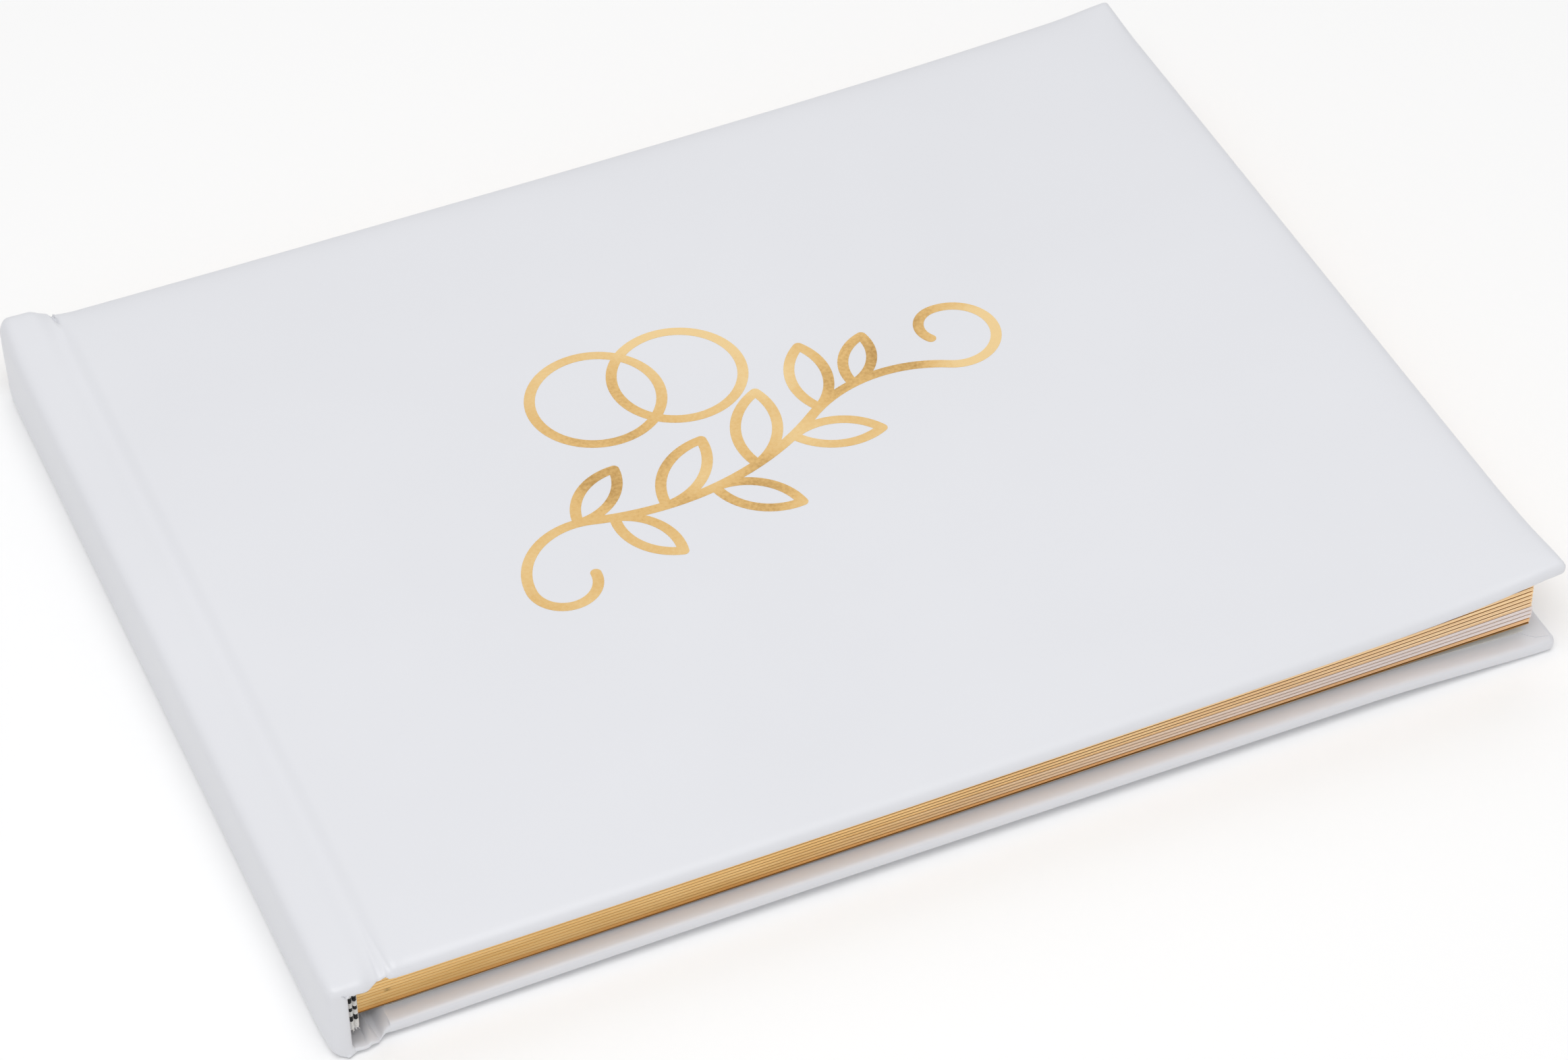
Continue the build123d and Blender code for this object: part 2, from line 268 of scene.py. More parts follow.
def corner_path(side, half):
    """Round a corner from one side to the next: plan points about the corner's centre."""
    radius = CORNERS[side] * half / RIM
    straight = half - radius
    points = [(straight * i / 5, -half) for i in range(1, 6)]
    for i in range(1, 7):
        a = math.pi / 2 * i / 6
        points.append((straight + radius * math.sin(a), -straight - radius * math.cos(a)))
    points += [(half, -straight * (1 - i / 5)) for i in range(1, 5)]
    return points


def tuck(t, side, row):
    """The back joint's turned edge starts behind the flap of the spine's end face."""
    if side > 0:
        return 0.0
    behind = smooth((t + 0.35) / 0.7) * (1 - smooth((t - 2.0) / 1.2))
    return 0.35 * behind * (1 - row[0] / RIM) * row[2]


def plain_ys():
    """Places from the tail rim to the head rim."""
    return [RIM + (DEPTH - 2 * RIM) * j / PLAIN_ROWS for j in range(PLAIN_ROWS + 1)]


def cover_row(side, row):
    """One line of vertices round a cover at one place of the edge's section."""
    inset = row[0]
    side_stations = stations()
    line = [case_point(side, t, inset - stand_out(t, inset) + tuck(t, side, row),
                       edge_depth(row, t, side)) for t in side_stations]
    half = RIM - inset
    plan = [(WIDTH - RIM + u, RIM + v) for u, v in corner_path(side, half)]
    plan += [(WIDTH - inset, y) for y in plain_ys()]
    plan += [(WIDTH - RIM + u, DEPTH - RIM - v) for u, v in reversed(corner_path(side, half))]
    for x, y in plan:
        crisp = 0.65 * smooth((x - WIDTH + 13) / 13) * smooth((13 - min(y, DEPTH - y)) / 13)
        line.append(case_point(side, x - ROUND, y, edge_depth(row, WIDTH, side, crisp)))
    share = head_share(THICKNESS if side > 0 else 0.0)
    for t in reversed(side_stations):
        y = DEPTH - inset + share * stand_out(t, inset) - tuck(t, side, row)
        line.append(case_point(side, t, y, edge_depth(row, t, side)))
    return line


def new_object(name, vertices, faces, materials, face_materials=None, sharp=None):
    """A mesh object from points in mm, with its normals made consistent."""
    mesh = bpy.data.meshes.new(name)
    mesh.from_pydata([place(*v) for v in vertices], [], faces)
    for m in materials:
        mesh.materials.append(m)
    if face_materials is not None:
        mesh.polygons.foreach_set("material_index", face_materials)
    bm = bmesh.new()
    bm.from_mesh(mesh)
    bmesh.ops.remove_doubles(bm, verts=bm.verts, dist=MERGE)
    bmesh.ops.recalc_face_normals(bm, faces=bm.faces)
    bm.to_mesh(mesh)
    bm.free()
    mesh.shade_smooth()
    if sharp:
        mesh.set_sharp_from_angle(angle=math.radians(sharp))
    obj = bpy.data.objects.new(name, mesh)
    bpy.context.scene.collection.objects.link(obj)
    return obj


def apply_modifier(obj, kind, **settings):
    """Give an object's mesh a modifier's result for good."""
    modifier = obj.modifiers.new(kind.lower(), kind)
    for key, value in settings.items():
        setattr(modifier, key, value)
    graph = bpy.context.evaluated_depsgraph_get()
    mesh = bpy.data.meshes.new_from_object(obj.evaluated_get(graph))
    mesh.set_sharp_from_angle(angle=math.radians(50))
    obj.modifiers.clear()
    obj.data = mesh


def sheet_faces(rows, base=0):
    """Quads between lines of vertices of equal length, the first vertex being number base."""
    n = len(rows[0])
    starts = [base + r * n + i for r in range(len(rows) - 1) for i in range(n - 1)]
    return [(a, a + 1, a + n + 1, a + n) for a in starts]


def cover_sheet(side):
    """Vertices and faces of the covering of one cover, its joint and its half of the spine edge."""
    rows = [cover_row(side, row) for row in EDGE]
    vertices = [v for row in rows for v in row]
    faces = sheet_faces(rows)
    # the middle, inside the rim
    grid = [[case_point(side, t, y, 0) for t in stations()] for y in plain_ys()]
    faces += sheet_faces(grid, len(vertices))
    vertices += [v for line in grid for v in line]
    return vertices, faces


# ------------------------------------------------------------------ materials
def material(name, colour, roughness=0.5, metallic=0.0, **inputs):
    """A material with a Principled shader. inputs name more sockets, with underscores."""
    made = bpy.data.materials.new(name)
    made.use_nodes = True
    nodes, links = made.node_tree.nodes, made.node_tree.links
    shader = nodes["Principled BSDF"]
    shader.inputs["Base Color"].default_value = (*colour, 1)
    shader.inputs["Roughness"].default_value = roughness
    shader.inputs["Metallic"].default_value = metallic
    for key, value in inputs.items():
        shader.inputs[key.replace("_", " ")].default_value = value
    return made, nodes, links, shader


def noise_map(nodes, links, scale, stretch=(1, 1, 1), detail=3.0, rough=0.5):
    """Noise in the object's own space. scale is in features per metre."""
    coords = nodes.new("ShaderNodeTexCoord")
    mapping = nodes.new("ShaderNodeMapping")
    mapping.inputs["Scale"].default_value = stretch
    noise = nodes.new("ShaderNodeTexNoise")
    noise.inputs["Scale"].default_value = scale
    noise.inputs["Detail"].default_value = detail
    noise.inputs["Roughness"].default_value = rough
    links.new(coords.outputs["Object"], mapping.inputs["Vector"])
    links.new(mapping.outputs["Vector"], noise.inputs["Vector"])
    return noise


def ramp(nodes, links, source, stops):
    """Colours along a 0 to 1 value."""
    made = nodes.new("ShaderNodeValToRGB")
    elements = made.color_ramp.elements
    while len(elements) < len(stops):
        elements.new(0.5)
    for element, (position, colour) in zip(elements, stops):
        element.position = position
        element.color = (*colour, 1)
    links.new(source, made.inputs["Fac"])
    return made


def to_range(nodes, links, source, low, high):
    """Spread a 0 to 1 value from low to high."""
    made = nodes.new("ShaderNodeMapRange")
    made.inputs["To Min"].default_value = low
    made.inputs["To Max"].default_value = high
    links.new(source, made.inputs["Value"])
    return made


def add_bump(nodes, links, shader, source, distance):
    """Relief from a 0 to 1 value. distance is its height in metres."""
    bump = nodes.new("ShaderNodeBump")
    bump.inputs["Distance"].default_value = distance
    bump.inputs["Strength"].default_value = 1.0
    links.new(source, bump.inputs["Height"])
    links.new(bump.outputs["Normal"], shader.inputs["Normal"])


def paper_material(name, light, dark, roughness, grain, bump, **inputs):
    """Paper or board: cloudy tone, fine tooth and slightly uneven gloss."""
    made, nodes, links, shader = material(name, light, roughness, **inputs)
    cloud = noise_map(nodes, links, 25, detail=4)
    tone = ramp(nodes, links, cloud.outputs["Fac"], [(0.3, dark), (0.7, light)])
    links.new(tone.outputs["Color"], shader.inputs["Base Color"])
    tooth = noise_map(nodes, links, grain, detail=5, rough=0.6)
    gloss = to_range(nodes, links, tooth.outputs["Fac"], roughness - 0.06, roughness + 0.06)
    links.new(gloss.outputs["Result"], shader.inputs["Roughness"])
    add_bump(nodes, links, shader, tooth.outputs["Fac"], bump)
    return made


def gilt_material(name, light, dark, pale):
    """Gilding on the cut edge: fine lines along the leaves, each leaf a little off in colour, and
    painted shade where the tint darkens a sheet.
    """
    made, nodes, links, shader = material(name, light, 0.36, 1.0)
    lines = noise_map(nodes, links, 500, stretch=(0.08, 0.5, 1.0), detail=3, rough=0.55)
    tone = ramp(nodes, links, lines.outputs["Fac"], [(0.3, dark), (0.6, light)])
    gloss = to_range(nodes, links, lines.outputs["Fac"], 0.5, 0.32)
    links.new(gloss.outputs["Result"], shader.inputs["Roughness"])
    add_bump(nodes, links, shader, lines.outputs["Fac"], 0.00005)
    tint = nodes.new("ShaderNodeAttribute")
    tint.attribute_name = "tint"
    tinted = nodes.new("ShaderNodeMix")
    tinted.data_type = "RGBA"
    tinted.blend_type = "MULTIPLY"
    tinted.inputs["Factor"].default_value = 1.0
    links.new(tone.outputs["Color"], tinted.inputs["A"])
    links.new(tint.outputs["Color"], tinted.inputs["B"])
    paleness = nodes.new("ShaderNodeAttribute")
    paleness.attribute_name = "pale"
    mix = nodes.new("ShaderNodeMix")
    mix.data_type = "RGBA"
    links.new(paleness.outputs["Fac"], mix.inputs["Factor"])
    links.new(tinted.outputs["Result"], mix.inputs["A"])
    mix.inputs["B"].default_value = (*pale, 1)
    links.new(mix.outputs["Result"], shader.inputs["Base Color"])
    metal = to_range(nodes, links, paleness.outputs["Fac"], 1.0, 0.1)
    links.new(metal.outputs["Result"], shader.inputs["Metallic"])
    return made


def foil_material():
    """Hot-stamped foil: bright, with soft darker patches and a faint speckle."""
    made, nodes, links, shader = material("gold_foil", (0.75, 0.52, 0.22), 0.24, 1.0)
    patches = noise_map(nodes, links, 38, detail=2)
    speckle = noise_map(nodes, links, 1500, detail=4)
    mix = nodes.new("ShaderNodeMath")
    mix.operation = "MULTIPLY_ADD"
    mix.inputs[1].default_value = 0.25
    links.new(speckle.outputs["Fac"], mix.inputs[0])
    links.new(patches.outputs["Fac"], mix.inputs[2])
    tone = ramp(nodes, links, mix.outputs["Value"],
                [(0.42, (0.46, 0.27, 0.09)), (0.56, (0.72, 0.47, 0.19)),
                 (0.75, (0.82, 0.60, 0.30))])
    links.new(tone.outputs["Color"], shader.inputs["Base Color"])
    gloss = to_range(nodes, links, speckle.outputs["Fac"], 0.16, 0.34)
    links.new(gloss.outputs["Result"], shader.inputs["Roughness"])
    add_bump(nodes, links, shader, speckle.outputs["Fac"], 0.00002)
    return made


WHITE = (0.80, 0.808, 0.845)
covering = paper_material("satin_covering", WHITE, (0.785, 0.793, 0.83), 0.42, 2600, 0.000012,
                          Coat_Weight=0.12, Coat_Roughness=0.3)
endpaper = paper_material("endpaper", (0.86, 0.85, 0.82), (0.83, 0.82, 0.79), 0.8, 1800, 0.00003)
leaf_paper = paper_material("leaf_paper", (0.84, 0.81, 0.74), (0.82, 0.79, 0.71), 0.85, 1500,
                            0.00004)
gilt = gilt_material("gilt_edge", (1.0, 0.685, 0.30), (0.90, 0.585, 0.225), (0.90, 0.84, 0.85))
foil = foil_material()
board_grey = paper_material("binders_board", (0.36, 0.34, 0.31), (0.27, 0.25, 0.23), 0.9, 700,
                            0.00015)
foam_white = paper_material("foam", (0.82, 0.82, 0.80), (0.76, 0.76, 0.74), 0.95, 3000, 0.0002)
kraft = paper_material("kraft_liner", (0.42, 0.30, 0.18), (0.34, 0.23, 0.13), 0.85, 1200, 0.00005)
gauze = paper_material("mull_gauze", (0.74, 0.71, 0.62), (0.60, 0.57, 0.48), 0.9, 1100, 0.0002)
thread_white = paper_material("linen_thread", (0.95, 0.94, 0.91), (0.87, 0.86, 0.83), 0.8, 4000,
                              0.0001)
thread_black = paper_material("black_thread", (0.02, 0.02, 0.022), (0.01, 0.01, 0.01), 0.7, 4000,
                              0.0001)


# ------------------------------------------------------------------ the case
# along the width: distance from the fore-edge, where the mitred fold starts, where it ends
FOLD_COLUMNS = [(5.6, 4.0, 4.03), (4.58, 2.95, 4.6), (4.3, 2.7, 15), (3.4, 1.85, 15),
                (2.3, 1.55, 15), (1.1, 1.3, 15)]
FOLD_STEPS = 6


def add_corner_folds(obj, side):
    """At each corner the turned-in covering lies double, with a mitred edge."""
    bm = bmesh.new()
    bm.from_mesh(obj.data)
    last, steps = len(FOLD_COLUMNS) - 1, FOLD_STEPS
    for mirrored in (False, True):
        layers = []
        for depth in (COVER + 0.15, COVER - 0.05):
            grid = []
            for from_edge, start, end in FOLD_COLUMNS:
                column = []
                for k in range(steps + 1):
                    y = start + (end - start) * (k / steps) ** 2
                    y = DEPTH - y if mirrored else y
                    point = case_point(side, WIDTH - from_edge - ROUND, y, depth)
                    column.append(bm.verts.new(place(*point)))
                grid.append(column)
            layers.append(grid)
            for i in range(last):
                for k in range(steps):
                    bm.faces.new((grid[i][k], grid[i + 1][k], grid[i + 1][k + 1], grid[i][k + 1]))
        top, bottom = layers
        ring = [(i, 0) for i in range(last + 1)] + [(last, k) for k in range(1, steps + 1)]
        ring += [(i, steps) for i in range(last - 1, -1, -1)]
        ring += [(0, k) for k in range(steps - 1, 0, -1)]
        for (i, k), (m, n) in zip(ring, ring[1:] + ring[:1]):
            bm.faces.new((top[i][k], top[m][n], bottom[m][n], bottom[i][k]))
    bmesh.ops.recalc_face_normals(bm, faces=bm.faces[:])
    bm.to_mesh(obj.data)
    bm.free()


def make_covering(side, name):
    """One cover's covering with its joint: a single sheet shaped over the joint."""
    vertices, faces = cover_sheet(side)
    obj = new_object(f"{name}_covering", vertices, faces, [covering])
    apply_modifier(obj, "SOLIDIFY", thickness=SHEET * MM, offset=-1.0)
    add_corner_folds(obj, side)
    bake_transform(obj)
    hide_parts(f"{name}_cover_wrap", f"{name}_joint_wrap", f"{name}_turn_in_head",
                f"{name}_turn_in_tail", f"{name}_turn_in_fore_edge")


def make_slab(name, side, x_start, rows, paint):
    """A closed layer inside a cover. rows are (inset, depth) from its outer face round the rim."""
    columns = [x_start + (WIDTH - RIM - x_start) * i / 30 for i in range(31)]
    ys = plain_ys()
    lines = []
    for inset, depth in rows:
        half = RIM - inset
        plan = [(x, inset) for x in columns]
        plan += [(WIDTH - RIM + u, RIM + v) for u, v in corner_path(side, half)]
        plan += [(WIDTH - inset, y) for y in ys]
        plan += [(WIDTH - RIM + u, DEPTH - RIM - v) for u, v in reversed(corner_path(side, half))]
        plan += [(x, DEPTH - inset) for x in reversed(columns)]
        lines.append([case_point(side, x - ROUND, y, depth) for x, y in plan])
    vertices = [v for line in lines for v in line]
    faces = sheet_faces(lines)
    length = len(lines[0])
    faces.append([r * length for r in range(len(rows))])
    faces.append([r * length + length - 1 for r in range(len(rows))])
    first = []
    for depth in (rows[0][1], rows[-1][1]):
        first.append(len(vertices))
        grid = [[case_point(side, x - ROUND, y, depth) for x in columns] for y in ys]
        faces += sheet_faces(grid, len(vertices))
        vertices += [v for line in grid for v in line]
    m = len(columns)
    a, b = first
    faces += [(a + j * m, a + (j + 1) * m, b + (j + 1) * m, b + j * m) for j in range(PLAIN_ROWS)]
    return new_object(name, vertices, faces, [paint], sharp=SMOOTH_ANGLE)


# (inset, depth) round a layer's rim, from its outer face to its inner one
FOAM_ROWS = [(RIM, 0.28), (9.5, 0.30), (5.6, 0.45), (3.6, 0.65), (2.6, 0.84), (2.2, 0.92),
             (2.9, 0.94), (RIM, 0.94)]
BOARD_ROWS = [(RIM, 0.95), (2.6, 0.97), (1.7, 1.12), (1.0, 1.42), (0.55, 1.85), (0.45, 2.2),
              (0.7, 2.6), (1.2, 2.78), (RIM, 2.83)]


def make_boards(side, name):
    """The foam pad and the stiff board inside one cover."""
    pad = make_slab(f"{name}_soft_pad", side, COVER_START + 0.6, FOAM_ROWS, foam_white)
    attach(pad, f"{name}_cover")
    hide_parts(f"{name}_foam_pad")
    board = make_slab(f"{name}_stiff_board", side, COVER_START + 0.9, BOARD_ROWS, board_grey)
    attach(board, f"{name}_cover")
    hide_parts(f"{name}_board")


def make_spine_covering():
    """The flat spine face between the two cover coverings, folded in over both ends."""
    heights = [SEAM + (THICKNESS - 2 * SEAM) * i / 4 for i in range(5)]
    out = [stand_out(-ARC, row[0]) for row in EDGE]
    ends = [(edge_depth(row, -ARC - 1, 1), row[0]) for row in EDGE]
    rows = [[(depth, inset - more, z) for z in heights]
            for (depth, inset), more in reversed(list(zip(ends, out)))]
    rows += [[(0, y, z) for z in heights] for y in plain_ys()[1:-1]]
    rows += [[(depth, DEPTH - inset + more * head_share(z), z) for z in heights]
             for (depth, inset), more in zip(ends, out)]
    obj = new_object("spine_covering", [v for row in rows for v in row], sheet_faces(rows),
                     [covering])
    flip = obj.data.polygons[len(obj.data.polygons) // 2].normal.x > 0
    apply_modifier(obj, "SOLIDIFY", thickness=SHEET * MM, offset=1.0 if flip else -1.0)
    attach(obj, "spine")
    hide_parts("spine_wrap", "spine_turn_in_head", "spine_turn_in_tail")


def make_spine_board():
    """The stiff strip behind the spine's covering, its ends eased to the covering's rounding."""
    eased = [(0.5, 3.2), (0.6, 2.3), (0.75, 1.6), (1.0, 1.05), (1.4, 0.7), (1.95, 0.6)]
    outline = eased + [(x, DEPTH - y) for x, y in reversed(eased)]
    heights = [2.6 + (THICKNESS - 5.2) * i / 6 for i in range(7)]
    count = len(outline)
    faces = [(r * count + i, r * count + (i + 1) % count, (r + 1) * count + (i + 1) % count,
              (r + 1) * count + i) for r in range(len(heights) - 1) for i in range(count)]
    faces.append(tuple(reversed(range(count))))
    faces.append(tuple((len(heights) - 1) * count + i for i in range(count)))
    vertices = [(x, y, z) for z in heights for x, y in outline]
    obj = new_object("spine_stiff_board", vertices, faces, [board_grey], sharp=SMOOTH_ANGLE)
    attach(obj, "spine")
    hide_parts("spine_board")


make_spine_board()
make_covering(1, "front")
make_covering(-1, "back")
make_boards(1, "front")
make_boards(-1, "back")
make_spine_covering()


# ------------------------------------------------------------------ the block
def inner_face(side, x, y):
    """Height of a cover's inner face."""
    return case_point(side, max(x, COVER_START + 1) - ROUND, y, COVER + 0.2)[2]


def level_at(share, x):
    """Height of a leaf that lies at a share of the block, from 0 at the back cover."""
    low = 4.65 + 0.7 * smooth((x - 10) / 160)
    high = inner_face(1, x, DEPTH / 2) - 0.12
    return low + share * (high - low)


def leaf_columns():
    """Places along a leaf, dense where it bends."""
    near = [LEAF_START, LEAF_START + 0.5, GUTTER_START]
    near += [GUTTER_START + (GUTTER_END - GUTTER_START) * i / 24 for i in range(1, 25)]
    far = [GUTTER_END + (LEAF_END - GUTTER_END) * i / 26 for i in range(1, 26)]
    return near + far + [LEAF_END - GILT_RIM, LEAF_END]


GILT_RIM = 0.4  # the gilding runs this far onto a leaf's faces
# The outer sheet's gilding is painted browner and darker: painted shade that stands for the dark
# line in the gap between sections.
SUNK = 0.17  # share of a section taken by its outer sheet, which lies a little back, in shadow


def make_leaves(name, low, high, count, step, paleness, tint, replaced):
    """A stack of single leaves: white faces, gilt cut edges, each a little out of line."""
    vertices, faces, paints, pales, tints = [], [], [], [], []
    columns = leaf_columns()
    first = SUNK if count > 1 else 0.0
    for leaf in range(count + (1 if first else 0)):
        sunk = first and leaf == 0
        if sunk:
            bottom, top = low, low + (high - low) * first
        else:
            rest = leaf - 1 if first else leaf
            bottom = low + (high - low) * (first + (1 - first) * (rest + 0.015) / count)
            top = low + (high - low) * (first + (1 - first) * (rest + 0.985) / count)
        back = 0.07 if sunk else rng.uniform(-0.03, 0.03)
        stretch = (step - back) / (LEAF_END - GUTTER_END)
        warmth = rng.uniform(-0.05, 0.05)
        shade = rng.uniform(0.94, 1.03)
        # on the sunk sheet green and blue are cut: painted shade, a brown line between sections
        colour = (tint[0] * shade, tint[1] * shade * (0.86 if sunk else 1 + 0.4 * warmth),
                  tint[2] * shade * (0.7 if sunk else 1 + warmth))
        base = len(vertices)
        for x in columns:
            loose = smooth((x - 25) / 130)  # the leaves are pressed tight near the spine
            ex = x + max(0.0, x - GUTTER_END) * stretch
            z0 = level_at(bottom - (0.75 * GAP * (1 - loose) if sunk else 0), x)
            z1 = level_at(top, x)
            tail = LEAF_TAIL + back * (0.3 + 0.7 * loose)
            ys = (tail, tail + GILT_RIM, DEPTH - tail - GILT_RIM, DEPTH - tail)
            vertices += [(ex, y, z0) for y in ys] + [(ex, y, z1) for y in reversed(ys)]
            fade = smooth((x - 68) / 145) * paleness * (0.35 if sunk else 1.0)
            pales += [fade * rng.uniform(0.88, 1.0)] * 8
            # gilding darker towards the spine, with a worn spot near the spine in one section; on
            # the sunk sheet also painted shade
            wear_and_painted_shade = 0.86 + 0.14 * smooth((x - 30) / 80) + 0.06 * smooth((x - 100) / 60)
            wear_and_painted_shade *= 1 - 0.4 * bell(x, 11.8, 0.8, 0.8) * bell(low, 0.35, 0.07, 0.07)
            # painted shade: the sunk sheet is darker where the leaves lie loose
            if sunk:
                wear_and_painted_shade *= 1 - 0.15 * loose
            tints += [channel * wear_and_painted_shade for channel in colour + (1 / wear_and_painted_shade,)] * 8
        n = len(columns)
        for i in range(n - 1):
            c = base + 8 * i
            for k in range(8):
                faces.append((c + k, c + (k + 1) % 8, c + 8 + (k + 1) % 8, c + 8 + k))
                paints.append(0 if k in (1, 5) and i < n - 2 else 1)
        last = base + 8 * (n - 1)
        for k in range(3):
            faces.append((base + k, base + 7 - k, base + 6 - k, base + k + 1))
            faces.append((last + k, last + k + 1, last + 6 - k, last + 7 - k))
            paints += [0, 1]
    obj = new_object(name, vertices, faces, [leaf_paper, gilt], paints, sharp=SMOOTH_ANGLE)
    pale_values = obj.data.attributes.new("pale", "FLOAT", "POINT")
    pale_values.data.foreach_set("value", pales)
    tint_values = obj.data.attributes.new("tint", "FLOAT_COLOR", "POINT")
    tint_values.data.foreach_set("color", tints)
    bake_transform(obj)
    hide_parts(*replaced)
    return obj


FLY = 0.024  # share of the block that a flyleaf takes
GAP = 0.011  # share left between sections
SECTION = (1 - 2 * FLY - (SECTIONS + 1) * GAP) / SECTIONS
PALE_SECTIONS = (9, 10, 11)  # counted from the front cover
# tints of the gilding; the brown one is painted shade
PLAIN = (1.0, 1.0, 1.0)
RUDDY = (1.02, 0.88, 0.74)
PAINTED_SHADE_BROWN = (0.42, 0.32, 0.23)
# the back free endpaper's edge is painted dark brown: painted shade for the dark line in the gap
# under the block
make_leaves("back_free_endpaper", 0, FLY, 1, -0.1, 0, PAINTED_SHADE_BROWN, ["back_flyleaf"])
make_leaves("front_free_endpaper", 1 - FLY, 1, 1, -0.1, 0, PLAIN,
            ["front_flyleaf"])
for number in range(1, SECTIONS + 1):
    start = FLY + GAP + (SECTIONS - number) * (SECTION + GAP)
    out = 0.25 if number in PALE_SECTIONS else 0.0
    paleness = 0.2 + 0.12 * rng.random()
    if number in PALE_SECTIONS:
        paleness = 0.95
    elif number == PALE_SECTIONS[0] - 1:
        paleness = 0.3
    make_leaves(f"section_{number}_pages", start, start + SECTION,
                LEAVES_PER_SECTION, out, paleness, RUDDY if number == SECTIONS else PLAIN,
                [f"section_{number}_leaves", f"section_{number}_fold"])


def make_pastedown(side, name):
    """Endpaper on the inside of a cover, running on over the joint to the block's shoulder."""
    xs = [LEAF_START + 0.4 * i for i in range(26)]
    xs += [xs[-1] + (LEAF_END - 0.6 - xs[-1]) * i / 40 for i in range(1, 41)]
    inset = LEAF_TAIL + 0.6
    ys = [inset + (DEPTH - 2 * inset) * j / 30 for j in range(31)]
    shoulder = level_at(1.0 if side > 0 else 0.0, LEAF_START) + side * 0.12
    rows = []
    for along in ys:
        row = []
        for x in xs:
            # the ends draw back under the block where the sheet bridges the joint
            y = along + 2.6 * smooth((11.5 - x) / 2.5) * (1 - 2 * along / DEPTH)
            depth = 1.3 + (COVER - 1.28) * smooth((x - 9.6) / 1.6)
            glued = case_point(side, x - ROUND, y, depth)[2]
            w = smooth((x - 5.0) / 3.4)
            row.append((x, y, shoulder * (1 - w) + glued * w))
        rows.append(row)
    obj = new_object(f"{name}_pastedown_sheet", [v for row in rows for v in row],
                     sheet_faces(rows), [endpaper])
    up = obj.data.polygons[0].normal.z > 0
    inward = -1.0 if (side > 0) == up else 1.0
    apply_modifier(obj, "SOLIDIFY", thickness=0.16 * MM, offset=inward)
    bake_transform(obj)
    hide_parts(f"{name}_pastedown")


make_pastedown(1, "front")
make_pastedown(-1, "back")


# ------------------------------------------------------------------ headbands
BAND_X = 5.1
BAND_PITCH = 2.1  # from one row of black stitches to the next
BAND_STITCH = 6.4  # height of the lowest row of black stitches
THREAD = 0.42  # thickness
RING_TURNS = 20
RING_AROUND = 6


def ring_points(centre, radius_x, radius_y, tube, tilt):
    """One thread wound round the bead: a closed loop of round section."""
    turns, around = RING_TURNS, RING_AROUND
    vertices, faces = [], []
    for i in range(turns):
        a = 2 * math.pi * i / turns
        for j in range(around):
            b = 2 * math.pi * j / around
            r = tube * math.cos(b)
            vertices.append((centre[0] + (radius_x + r) * math.cos(a),
                             centre[1] + (radius_y + r) * math.sin(a),
                             centre[2] + tube * math.sin(b) + tilt * math.sin(a)))
            faces.append((i * around + j, i * around + (j + 1) % around,
                          ((i + 1) % turns) * around + (j + 1) % around,
                          ((i + 1) % turns) * around + j))
    return vertices, faces


def make_headband(end):
    """A woven bead at one end of the block: white and black threads wound in turn."""
    y = LEAF_TAIL - 1.0 if end == "tail" else DEPTH - LEAF_TAIL + 1.0
    low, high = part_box(f"{end}_headband")
    bottom, top = low.z / MM + 0.2, high.z / MM - 0.2
    count = int((top - bottom) / (THREAD * 0.92))
    vertices, faces, paints = [], [], []
    for i in range(count):
        z = bottom + (top - bottom) * (i + 0.5) / count
        phase = (z - BAND_STITCH) % BAND_PITCH
        dark = min(phase, BAND_PITCH - phase) < 0.56 and BAND_STITCH - 1 < z < BAND_STITCH + 5.2
        for column in (-1, 1):
            points, loops = ring_points((BAND_X + 0.42 * column, y, z + 0.12 * column),
                                        0.36, 0.85, THREAD / 2, 0.12)
            base = len(vertices)
            vertices += points
            faces += [tuple(base + k for k in loop) for loop in loops]
            # the black thread shows as single stitches on the side away from the block
            outer = -1 if end == "tail" else 1
            for turn in range(RING_TURNS):
                a = 2 * math.pi * (turn + 0.5) / RING_TURNS
                shown = dark and outer * math.sin(a) - 0.35 * math.cos(a) > 0.72
                paints += [1 if shown else 0] * RING_AROUND
    # frayed ends of the white threads at the foot of the bead
    for i in range(9):
        a = rng.uniform(0, 2 * math.pi)
        x0, y0 = BAND_X + 0.5 * math.cos(a), y + 0.5 * math.sin(a)
        lean = (rng.uniform(-0.5, 0.6), rng.uniform(-0.5, 0.3))
        base = len(vertices)
        for k in range(5):
            w = 0.16 * (1 - k / 5.5)
            px, py = x0 + lean[0] * (k / 4) ** 1.5, y0 + lean[1] * (k / 4) ** 1.5
            z = max(1.6, bottom + 0.2 - 0.3 * k * rng.uniform(0.8, 1.1))
            vertices += [(px - w, py - w, z), (px + w, py - w, z), (px + w, py + w, z),
                         (px - w, py + w, z)]
        for k in range(4):
            c = base + 4 * k
            faces += [(c + m, c + (m + 1) % 4, c + 4 + (m + 1) % 4, c + 4 + m) for m in range(4)]
            paints += [0] * 4
        faces.append((base, base + 1, base + 2, base + 3))
        faces.append((base + 16, base + 19, base + 18, base + 17))
        paints += [0, 0]
    obj = new_object(f"{end}_woven_band", vertices, faces, [thread_white, thread_black], paints)
    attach(obj, "spine")
    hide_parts(f"{end}_headband")


make_headband("tail")
make_headband("head")


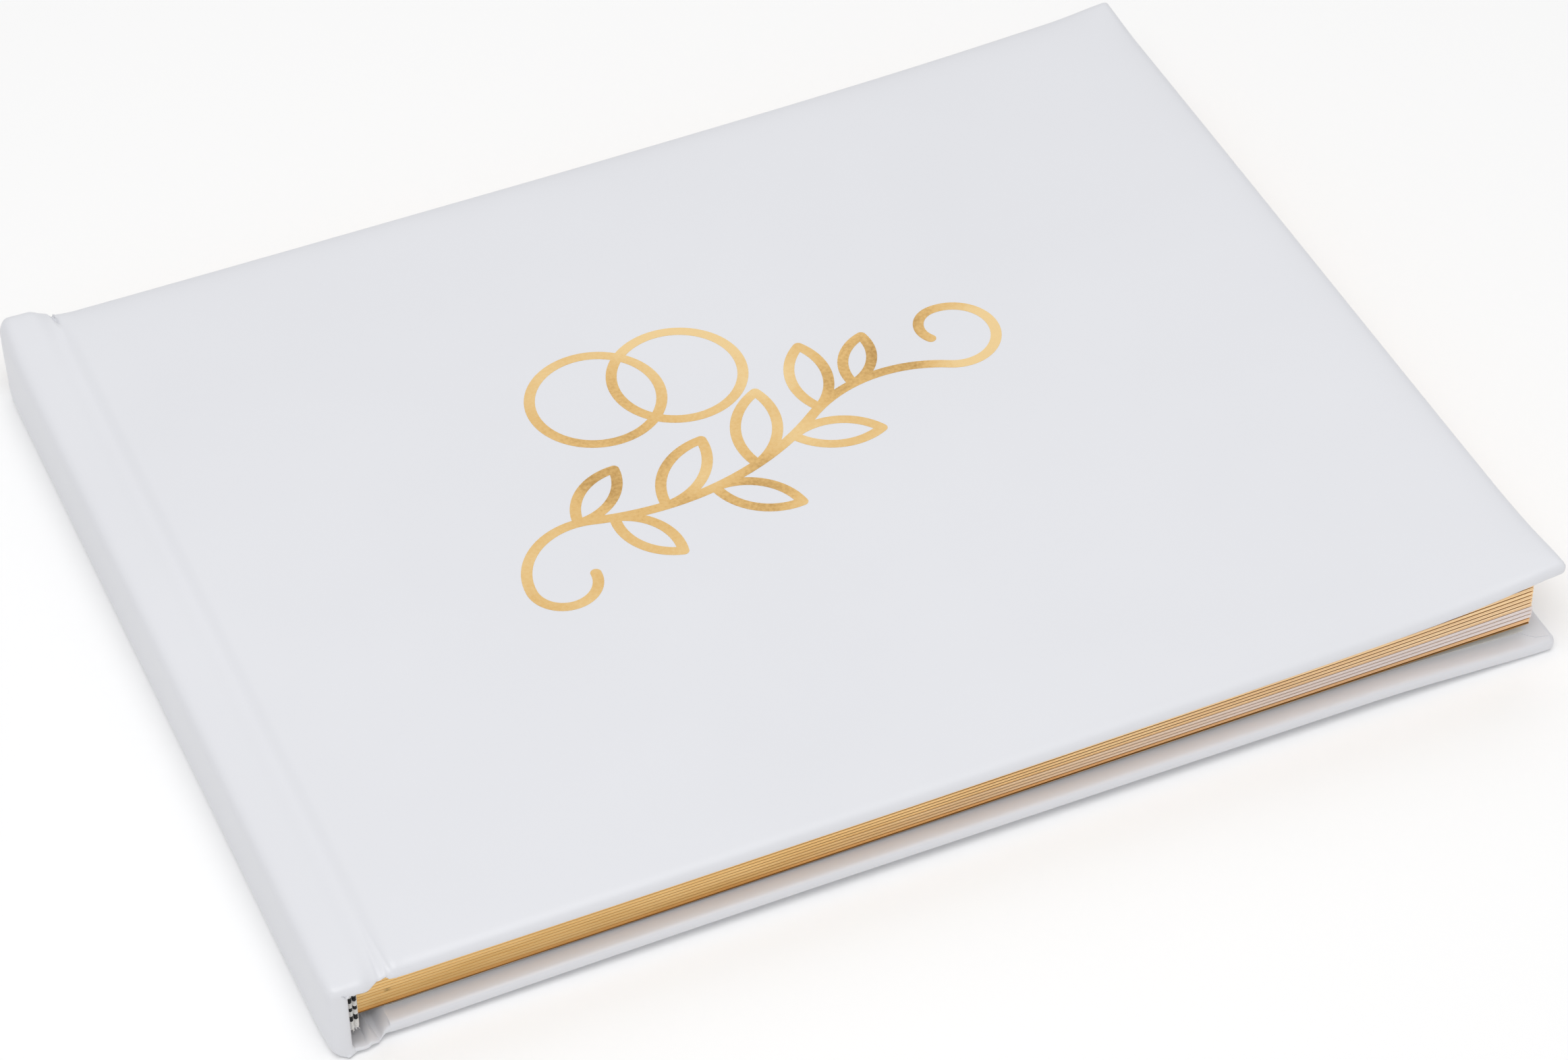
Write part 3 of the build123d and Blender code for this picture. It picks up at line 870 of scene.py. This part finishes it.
# ------------------------------------------------------------------ foil decoration
def make_foil():
    """The CAD outline of the decoration, laid on the padded cover as a thin film."""
    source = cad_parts["foil_ornament"].data
    bm = bmesh.new()
    bm.from_mesh(source)
    bmesh.ops.remove_doubles(bm, verts=bm.verts, dist=MERGE)
    bmesh.ops.delete(bm, geom=[f for f in bm.faces if f.normal.z < 0.7], context="FACES")
    bmesh.ops.delete(bm, geom=[v for v in bm.verts if not v.link_faces], context="VERTS")
    for vertex in bm.verts:
        x, y = (vertex.co.x - cad_low.x) / MM, (vertex.co.y - cad_low.y) / MM
        vertex.co = Vector(place(*case_point(1, x - ROUND, y, -0.035)))
    extruded = bmesh.ops.extrude_face_region(bm, geom=bm.faces[:])
    for vertex in [g for g in extruded["geom"] if isinstance(g, bmesh.types.BMVert)]:
        vertex.co.z -= 0.03 * MM
    bmesh.ops.recalc_face_normals(bm, faces=bm.faces)
    mesh = bpy.data.meshes.new("foil_flourish")
    bm.to_mesh(mesh)
    bm.free()
    mesh.materials.append(foil)
    obj = bpy.data.objects.new("foil_flourish", mesh)
    bpy.context.scene.collection.objects.link(obj)
    normals = []
    for face in mesh.polygons:
        face.use_smooth = True
        for index in face.vertices:
            point = mesh.vertices[index].co
            x, y = (point.x - cad_low.x) / MM, (point.y - cad_low.y) / MM
            lean = Vector((front_height(x - 0.5, y) - front_height(x + 0.5, y),
                           front_height(x, y - 0.5) - front_height(x, y + 0.5), 1.0))
            normals.append(lean.normalized() if face.normal.z > 0.5 else face.normal.copy())
    mesh.normals_split_custom_set(normals)
    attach(obj, "front_cover")
    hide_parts("foil_ornament")


make_foil()

# pieces of the frame that stay as they are, inside the spine
for node, paint in (("spine_liner", kraft), ("mull", gauze), ("sewing_threads", thread_white)):
    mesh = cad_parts[node].data
    mesh.materials.clear()
    mesh.materials.append(paint)

# ------------------------------------------------------------------ floor, light and camera
floor_mesh = bpy.data.meshes.new("floor")
REACH = 6.0  # half the floor's side, in metres
floor_mesh.from_pydata([(-REACH, -REACH, 0), (REACH, -REACH, 0), (REACH, REACH, 0),
                        (-REACH, REACH, 0)], [], [(0, 1, 2, 3)])
floor = bpy.data.objects.new("floor", floor_mesh)
bpy.context.scene.collection.objects.link(floor)
floor_paint = material("floor_paint", (0.97, 0.97, 0.97), 0.9, Emission_Strength=0.05)[0]
floor_mesh.materials.append(floor_paint)

world = bpy.data.worlds.new("studio")
bpy.context.scene.world = world
world.use_nodes = True
world.node_tree.nodes["Background"].inputs["Color"].default_value = (1, 1, 1, 1)
world.node_tree.nodes["Background"].inputs["Strength"].default_value = 0.47
bpy.context.scene.view_settings.view_transform = "Standard"


def area_light(name, location, size, power):
    """A square softbox aimed at the middle of the floor."""
    light = bpy.data.lights.new(name, "AREA")
    light.shape = "SQUARE"
    light.size = size
    light.energy = power
    obj = bpy.data.objects.new(name, light)
    obj.location = location
    obj.rotation_euler = (-Vector(location)).to_track_quat("-Z", "Y").to_euler()
    bpy.context.scene.collection.objects.link(obj)


area_light("key", (-0.22, -0.41, 1.26), 1.0, 9.5)
area_light("back", (0.6, 1.3, 1.4), 1.6, 4.9)

camera_data = bpy.data.cameras.new("camera")
camera = bpy.data.objects.new("camera", camera_data)
bpy.context.scene.collection.objects.link(camera)
bpy.context.scene.camera = camera
AZIMUTH, ELEVATION, ROLL = math.radians(-23.292), math.radians(43.285), math.radians(-0.692)
DISTANCE = 0.8638  # from the target, in metres
target = Vector((0.00315, -0.00471, 0.0))
out = Vector((math.sin(AZIMUTH) * math.cos(ELEVATION), -math.cos(AZIMUTH) * math.cos(ELEVATION),
              math.sin(ELEVATION)))
camera.location = target + out * DISTANCE
camera.rotation_mode = "QUATERNION"
camera.rotation_quaternion = (-out).to_track_quat("-Z", "Y") @ Quaternion((0, 0, 1), ROLL)
camera_data.sensor_width = 36
camera_data.lens = 109.63
camera_data.clip_start = 0.01
camera_data.clip_end = 20
